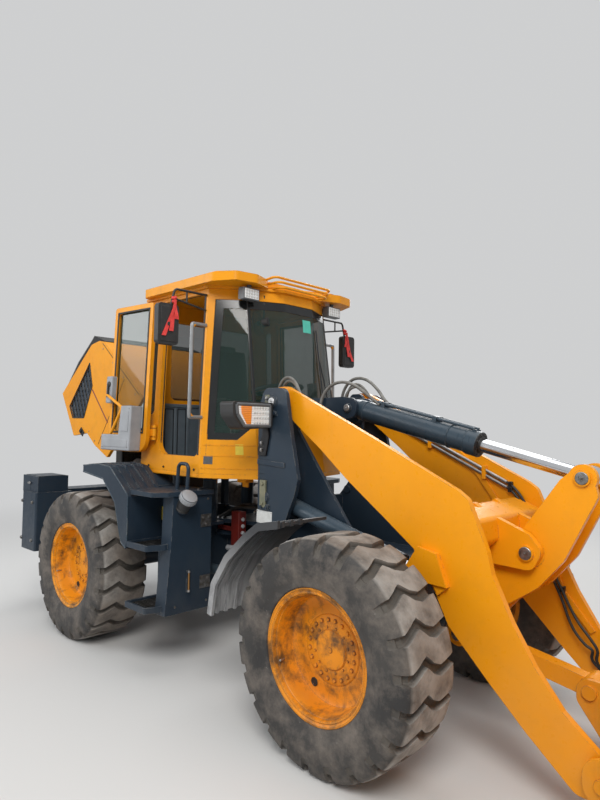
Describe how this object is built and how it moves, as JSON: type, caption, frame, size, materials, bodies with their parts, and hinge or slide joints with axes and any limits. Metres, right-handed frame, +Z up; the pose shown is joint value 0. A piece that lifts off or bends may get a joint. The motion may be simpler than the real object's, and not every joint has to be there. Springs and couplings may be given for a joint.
{
  "type": "wheel loader",
  "caption": "Articulated wheel loader with cab, raised rear hood, Z-bar boom, quick coupler and general bucket, boom down.",
  "frame": {"origin": "middle of the machine's bounding box, on the ground", "axes": "+X forward, +Y left, +Z up"},
  "size_m": [6.29, 2.18, 2.775],
  "materials": {
    "yellow_paint": "satin paint, worn in places",
    "grey_paint": "satin slate paint, dusty",
    "tyre": "matt, dusty",
    "chrome": "polished",
    "glass": "tinted",
    "black_plastic": "matt, ribbed",
    "seat_fabric": "matt",
    "lamp": "clear lens in a grey case",
    "black_metal": "satin",
    "iron": "matt"
  },
  "bodies": {
    "rear_frame": {"rear_frame": "grey_paint", "hood_posts": "grey_paint", "cab_floor": "yellow_paint", "cab_nose": "yellow_paint", "engine_block": "iron", "radiator": "black_metal", "counterweight": "grey_paint", "rear_axle": "grey_paint", "fuel_tank": "grey_paint", "hydraulic_tank": "grey_paint", "rear_fenders": "grey_paint", "cab_frame": "yellow_paint", "cab_glass": "glass", "cab_roof": "yellow_paint", "seat": "seat_fabric", "steering_wheel": "black_plastic", "mirrors": "black_metal", "work_lamps": "lamp"},
    "front_frame": {"front_frame": "grey_paint", "front_axle": "grey_paint", "front_fenders": "black_plastic", "headlamps": "lamp"},
    "boom": {"boom": "yellow_paint"},
    "rocker": {"rocker": "yellow_paint"},
    "tilt_link": {"tilt_link": "yellow_paint"},
    "coupler": {"coupler": "yellow_paint", "bucket": "yellow_paint"},
    "tilt_barrel": {"tilt_barrel": "grey_paint"},
    "tilt_rod": {"tilt_rod": "chrome"},
    "hood": {"hood": "yellow_paint", "hood_grille": "black_metal"},
    "door_right": {"door_right": "yellow_paint", "door_right_glass": "glass"},
    "door_left": {"door_left": "yellow_paint", "door_left_glass": "glass"},
    "lift_barrel_right": {"lift_barrel_right": "grey_paint"},
    "lift_rod_right": {"lift_rod_right": "chrome"},
    "steer_barrel_right": {"steer_barrel_right": "grey_paint"},
    "steer_rod_right": {"steer_rod_right": "chrome"},
    "wheel_front_right": {"tyre_front_right": "tyre", "rim_front_right": "yellow_paint"},
    "wheel_rear_right": {"tyre_rear_right": "tyre", "rim_rear_right": "yellow_paint"},
    "lift_barrel_left": {"lift_barrel_left": "grey_paint"},
    "lift_rod_left": {"lift_rod_left": "chrome"},
    "steer_barrel_left": {"steer_barrel_left": "grey_paint"},
    "steer_rod_left": {"steer_rod_left": "chrome"},
    "wheel_front_left": {"tyre_front_left": "tyre", "rim_front_left": "yellow_paint"},
    "wheel_rear_left": {"tyre_rear_left": "tyre", "rim_rear_left": "yellow_paint"}
  },
  "joints": [
    {"name": "steer", "type": "hinge", "parent": "rear_frame", "child": "front_frame", "pos_m": [-0.545, 0, 0.71], "axis": [0, 0, 1], "range_deg": [-35, 35]},
    {"name": "boom_lift", "type": "hinge", "parent": "front_frame", "child": "boom", "pos_m": [-0.025, 0, 1.86], "axis": [0, -1, 0], "range_deg": [0, 82]},
    {"name": "bucket_tilt", "type": "hinge", "parent": "boom", "child": "coupler", "pos_m": [1.945, 0, 0.235], "axis": [0, -1, 0], "range_deg": [-110, 20]},
    {"name": "rocker_swing", "type": "hinge", "parent": "boom", "child": "rocker", "pos_m": [1.485, 0, 1.072], "axis": [0, -1, 0], "range_deg": [-7.01, 38.58]},
    {"name": "tilt_link_swing", "type": "hinge", "parent": "rocker", "child": "tilt_link", "pos_m": [1.075, 0, 0.554], "axis": [0, -1, 0], "range_deg": [-28.66, 5.21]},
    {"name": "tilt_barrel_swing", "type": "hinge", "parent": "front_frame", "child": "tilt_barrel", "pos_m": [0.255, 0, 1.83], "axis": [0, -1, 0], "range_deg": [0, 92.23]},
    {"name": "tilt_rod_slide", "type": "slide", "parent": "tilt_barrel", "child": "tilt_rod", "axis": [0.9718, 0, -0.2356], "range_m": [-0.31415, 0.0572]},
    {"name": "lift_barrel_swing_right", "type": "hinge", "parent": "front_frame", "child": "lift_barrel_right", "pos_m": [-0.085, -0.42, 1.24], "axis": [0, -1, 0], "range_deg": [0, 69.14]},
    {"name": "lift_rod_slide_right", "type": "slide", "parent": "lift_barrel_right", "child": "lift_rod_right", "axis": [0.9645, 0, -0.2642], "range_m": [-0.0001, 0.74889]},
    {"name": "steer_barrel_swing_right", "type": "hinge", "parent": "rear_frame", "child": "steer_barrel_right", "pos_m": [-1.095, -0.434, 0.64], "axis": [0, 0, 1], "range_deg": [-9.49, 9.49]},
    {"name": "steer_rod_slide_right", "type": "slide", "parent": "steer_barrel_right", "child": "steer_rod_right", "axis": [0.9878, 0.1557, 0], "range_m": [-0.20493, 0.20493]},
    {"name": "wheel_front_right_spin", "type": "hinge", "parent": "front_frame", "child": "wheel_front_right", "pos_m": [0.78, -0.798, 0.575], "axis": [0, 1, 0], "continuous": true},
    {"name": "wheel_rear_right_spin", "type": "hinge", "parent": "rear_frame", "child": "wheel_rear_right", "pos_m": [-1.87, -0.798, 0.575], "axis": [0, 1, 0], "continuous": true},
    {"name": "lift_barrel_swing_left", "type": "hinge", "parent": "front_frame", "child": "lift_barrel_left", "pos_m": [-0.085, 0.42, 1.24], "axis": [0, -1, 0], "range_deg": [0, 69.14]},
    {"name": "lift_rod_slide_left", "type": "slide", "parent": "lift_barrel_left", "child": "lift_rod_left", "axis": [0.9645, 0, -0.2642], "range_m": [-0.0001, 0.74889]},
    {"name": "steer_barrel_swing_left", "type": "hinge", "parent": "rear_frame", "child": "steer_barrel_left", "pos_m": [-1.095, 0.434, 0.64], "axis": [0, 0, 1], "range_deg": [-9.49, 9.49]},
    {"name": "steer_rod_slide_left", "type": "slide", "parent": "steer_barrel_left", "child": "steer_rod_left", "axis": [0.9878, -0.1557, 0], "range_m": [-0.20493, 0.20493]},
    {"name": "wheel_front_left_spin", "type": "hinge", "parent": "front_frame", "child": "wheel_front_left", "pos_m": [0.78, 0.798, 0.575], "axis": [0, 1, 0], "continuous": true},
    {"name": "wheel_rear_left_spin", "type": "hinge", "parent": "rear_frame", "child": "wheel_rear_left", "pos_m": [-1.87, 0.798, 0.575], "axis": [0, 1, 0], "continuous": true},
    {"name": "door_right_hinge", "type": "hinge", "parent": "rear_frame", "child": "door_right", "pos_m": [-1.161, -0.684, 1.335], "axis": [0, 0.0374, 0.9993], "range_deg": [0, 175]},
    {"name": "door_left_hinge", "type": "hinge", "parent": "rear_frame", "child": "door_left", "pos_m": [-1.161, 0.684, 1.335], "axis": [0, -0.0374, 0.9993], "range_deg": [0, 175]},
    {"name": "hood_lift", "type": "hinge", "parent": "rear_frame", "child": "hood", "pos_m": [-1.525, 0, 1.925], "axis": [0, 1, 0], "range_deg": [-37, 0]}
  ],
  "couplings": [
    {"joint": "rocker_swing", "follows": "bucket_tilt", "ratio": -0.35},
    {"joint": "tilt_link_swing", "follows": "bucket_tilt", "ratio": 0.26},
    {"joint": "tilt_barrel_swing", "follows": "boom_lift", "ratio": 1.1225},
    {"joint": "tilt_rod_slide", "follows": "bucket_tilt", "m_per_rad": 0.16325},
    {"joint": "lift_barrel_swing_right", "follows": "boom_lift", "ratio": 0.84148},
    {"joint": "lift_rod_slide_right", "follows": "boom_lift", "m_per_rad": 0.52216},
    {"joint": "steer_barrel_swing_right", "follows": "steer", "ratio": 0.27049},
    {"joint": "steer_rod_slide_right", "follows": "steer", "m_per_rad": 0.33464},
    {"joint": "lift_barrel_swing_left", "follows": "boom_lift", "ratio": 0.84148},
    {"joint": "lift_rod_slide_left", "follows": "boom_lift", "m_per_rad": 0.52216},
    {"joint": "steer_barrel_swing_left", "follows": "steer", "ratio": 0.27049},
    {"joint": "steer_rod_slide_left", "follows": "steer", "m_per_rad": -0.33464}
  ]
}
